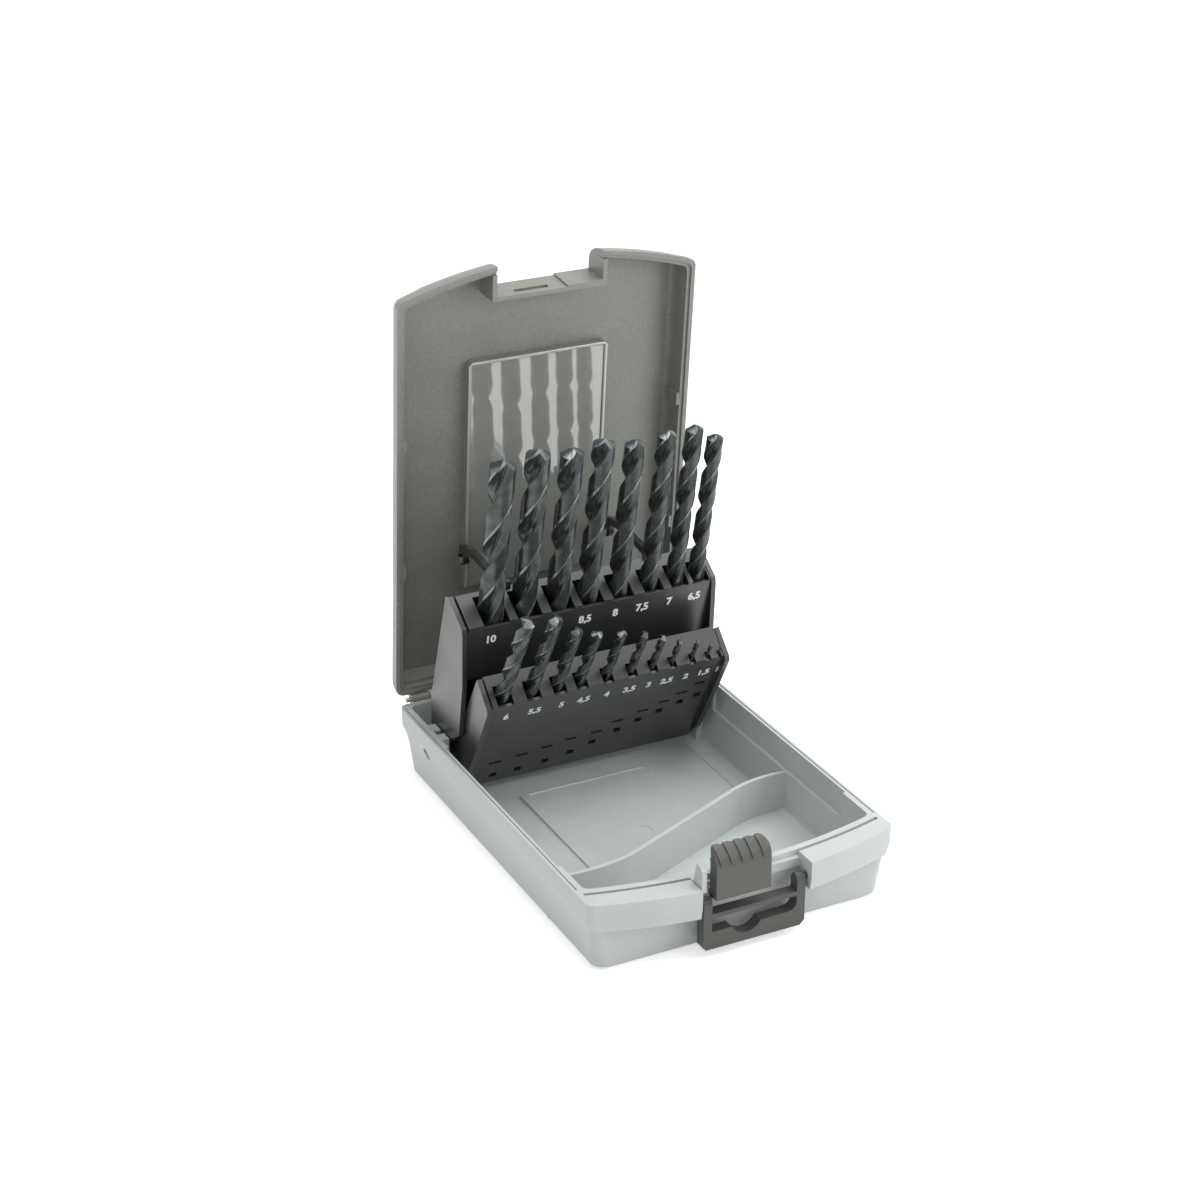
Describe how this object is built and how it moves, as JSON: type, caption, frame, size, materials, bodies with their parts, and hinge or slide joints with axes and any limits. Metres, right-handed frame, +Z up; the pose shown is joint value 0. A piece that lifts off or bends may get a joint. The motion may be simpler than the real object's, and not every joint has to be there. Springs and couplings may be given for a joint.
{
  "type": "drill bit case",
  "caption": "Shallow hinged case standing open: two linked racks of twist drills lift out of the tray as the lid opens, latch flap and carry handle in front.",
  "frame": {"origin": "centre of the tray's flat underside", "axes": "+X to the right seen from the front, +Y back towards the lid hinge, +Z up"},
  "size_m": [0.12, 0.186, 0.2014],
  "materials": {
    "tray_plastic": "satin moulded plastic, light cool grey",
    "lid_plastic": "satin moulded plastic, warm mid grey",
    "panel_plastic": "polished, slightly wavy insert",
    "rack_plastic": "satin black moulded plastic",
    "link_plastic": "satin black moulded plastic",
    "latch_plastic": "satin dark warm grey, lighter grip bars",
    "handle_plastic": "satin dark warm grey",
    "pin_steel": "plain drawn wire",
    "drill_steel": "black oxide, ground flutes with brighter edges"
  },
  "bodies": {
    "tray": {"tray": "tray_plastic", "hinge_pins": "pin_steel", "latch_pin": "pin_steel"},
    "lid": {"lid": "lid_plastic", "lid_panel": "panel_plastic"},
    "rear_rack": {"rear_rack": "rack_plastic"},
    "front_rack": {"front_rack": "rack_plastic"},
    "lift_link_left": {"lift_link_left": "link_plastic"},
    "lift_link_right": {"lift_link_right": "link_plastic"},
    "latch_flap": {"latch_flap": "latch_plastic"},
    "carry_handle": {"carry_handle": "handle_plastic"},
    "drill_10_0": {"drill_10_0": "drill_steel"},
    "drill_9_5": {"drill_9_5": "drill_steel"},
    "drill_9_0": {"drill_9_0": "drill_steel"},
    "drill_8_5": {"drill_8_5": "drill_steel"},
    "drill_8_0": {"drill_8_0": "drill_steel"},
    "drill_7_5": {"drill_7_5": "drill_steel"},
    "drill_7_0": {"drill_7_0": "drill_steel"},
    "drill_6_5": {"drill_6_5": "drill_steel"},
    "drill_6_0": {"drill_6_0": "drill_steel"},
    "drill_5_5": {"drill_5_5": "drill_steel"},
    "drill_5_0": {"drill_5_0": "drill_steel"},
    "drill_4_5": {"drill_4_5": "drill_steel"},
    "drill_4_0": {"drill_4_0": "drill_steel"},
    "drill_3_5": {"drill_3_5": "drill_steel"},
    "drill_3_0": {"drill_3_0": "drill_steel"},
    "drill_2_5": {"drill_2_5": "drill_steel"},
    "drill_2_0": {"drill_2_0": "drill_steel"},
    "drill_1_5": {"drill_1_5": "drill_steel"},
    "drill_1_0": {"drill_1_0": "drill_steel"}
  },
  "joints": [
    {"name": "lid_hinge", "type": "hinge", "parent": "tray", "child": "lid", "pos_m": [0, 0.0835, 0.02825], "axis": [-1, 0, 0], "range_deg": [-85, 0]},
    {"name": "rear_rack_pivot", "type": "hinge", "parent": "tray", "child": "rear_rack", "pos_m": [0, 0.0556, 0.025], "axis": [-1, 0, 0], "range_deg": [-78.05, 0.05]},
    {"name": "front_rack_pivot", "type": "hinge", "parent": "tray", "child": "front_rack", "pos_m": [0, 0.057, 0.0186], "axis": [-1, 0, 0], "range_deg": [-60.05, 0.05]},
    {"name": "lift_link_left_pivot", "type": "hinge", "parent": "rear_rack", "child": "lift_link_left", "pos_m": [-0.0308, 0.04807, 0.08677], "axis": [-1, 0, 0], "range_deg": [-0.05, 69.25]},
    {"name": "lift_link_right_pivot", "type": "hinge", "parent": "rear_rack", "child": "lift_link_right", "pos_m": [0.0308, 0.04807, 0.08677], "axis": [-1, 0, 0], "range_deg": [-0.05, 69.25]},
    {"name": "latch_flap_hinge", "type": "hinge", "parent": "tray", "child": "latch_flap", "pos_m": [0, -0.0862, 0.0242], "axis": [1, 0, 0], "range_deg": [-6, 95]},
    {"name": "handle_hinge", "type": "hinge", "parent": "tray", "child": "carry_handle", "pos_m": [0, -0.0864, 0.0215], "axis": [1, 0, 0], "range_deg": [-90, 0]},
    {"name": "drill_10_0_slide", "type": "slide", "parent": "rear_rack", "child": "drill_10_0", "axis": [0, -0.2079, 0.9781], "range_m": [0, 0.076]},
    {"name": "drill_9_5_slide", "type": "slide", "parent": "rear_rack", "child": "drill_9_5", "axis": [0, -0.2079, 0.9781], "range_m": [0, 0.066]},
    {"name": "drill_9_0_slide", "type": "slide", "parent": "rear_rack", "child": "drill_9_0", "axis": [0, -0.2079, 0.9781], "range_m": [0, 0.068]},
    {"name": "drill_8_5_slide", "type": "slide", "parent": "rear_rack", "child": "drill_8_5", "axis": [0, -0.2079, 0.9781], "range_m": [0, 0.0583]},
    {"name": "drill_8_0_slide", "type": "slide", "parent": "rear_rack", "child": "drill_8_0", "axis": [0, -0.2079, 0.9781], "range_m": [0, 0.061]},
    {"name": "drill_7_5_slide", "type": "slide", "parent": "rear_rack", "child": "drill_7_5", "axis": [0, -0.2079, 0.9781], "range_m": [0, 0.0514]},
    {"name": "drill_7_0_slide", "type": "slide", "parent": "rear_rack", "child": "drill_7_0", "axis": [0, -0.2079, 0.9781], "range_m": [0, 0.051]},
    {"name": "drill_6_5_slide", "type": "slide", "parent": "rear_rack", "child": "drill_6_5", "axis": [0, -0.2079, 0.9781], "range_m": [0, 0.0485]},
    {"name": "drill_6_0_slide", "type": "slide", "parent": "front_rack", "child": "drill_6_0", "axis": [0, -0.5, 0.866], "range_m": [0, 0.0542]},
    {"name": "drill_5_5_slide", "type": "slide", "parent": "front_rack", "child": "drill_5_5", "axis": [0, -0.5, 0.866], "range_m": [0, 0.0565]},
    {"name": "drill_5_0_slide", "type": "slide", "parent": "front_rack", "child": "drill_5_0", "axis": [0, -0.5, 0.866], "range_m": [0, 0.0597]},
    {"name": "drill_4_5_slide", "type": "slide", "parent": "front_rack", "child": "drill_4_5", "axis": [0, -0.5, 0.866], "range_m": [0, 0.058]},
    {"name": "drill_4_0_slide", "type": "slide", "parent": "front_rack", "child": "drill_4_0", "axis": [0, -0.5, 0.866], "range_m": [0, 0.056]},
    {"name": "drill_3_5_slide", "type": "slide", "parent": "front_rack", "child": "drill_3_5", "axis": [0, -0.5, 0.866], "range_m": [0, 0.0548]},
    {"name": "drill_3_0_slide", "type": "slide", "parent": "front_rack", "child": "drill_3_0", "axis": [0, -0.5, 0.866], "range_m": [0, 0.0505]},
    {"name": "drill_2_5_slide", "type": "slide", "parent": "front_rack", "child": "drill_2_5", "axis": [0, -0.5, 0.866], "range_m": [0, 0.0518]},
    {"name": "drill_2_0_slide", "type": "slide", "parent": "front_rack", "child": "drill_2_0", "axis": [0, -0.5, 0.866], "range_m": [0, 0.0462]},
    {"name": "drill_1_5_slide", "type": "slide", "parent": "front_rack", "child": "drill_1_5", "axis": [0, -0.5, 0.866], "range_m": [0, 0.0413]},
    {"name": "drill_1_0_slide", "type": "slide", "parent": "front_rack", "child": "drill_1_0", "axis": [0, -0.5, 0.866], "range_m": [0, 0.038]}
  ],
  "couplings": [
    {"joint": "rear_rack_pivot", "follows": "lid_hinge", "ratio": 0.91765},
    {"joint": "front_rack_pivot", "follows": "lid_hinge", "ratio": 0.70588},
    {"joint": "lift_link_left_pivot", "follows": "lid_hinge", "ratio": -0.81365},
    {"joint": "lift_link_right_pivot", "follows": "lid_hinge", "ratio": -0.81365}
  ]
}
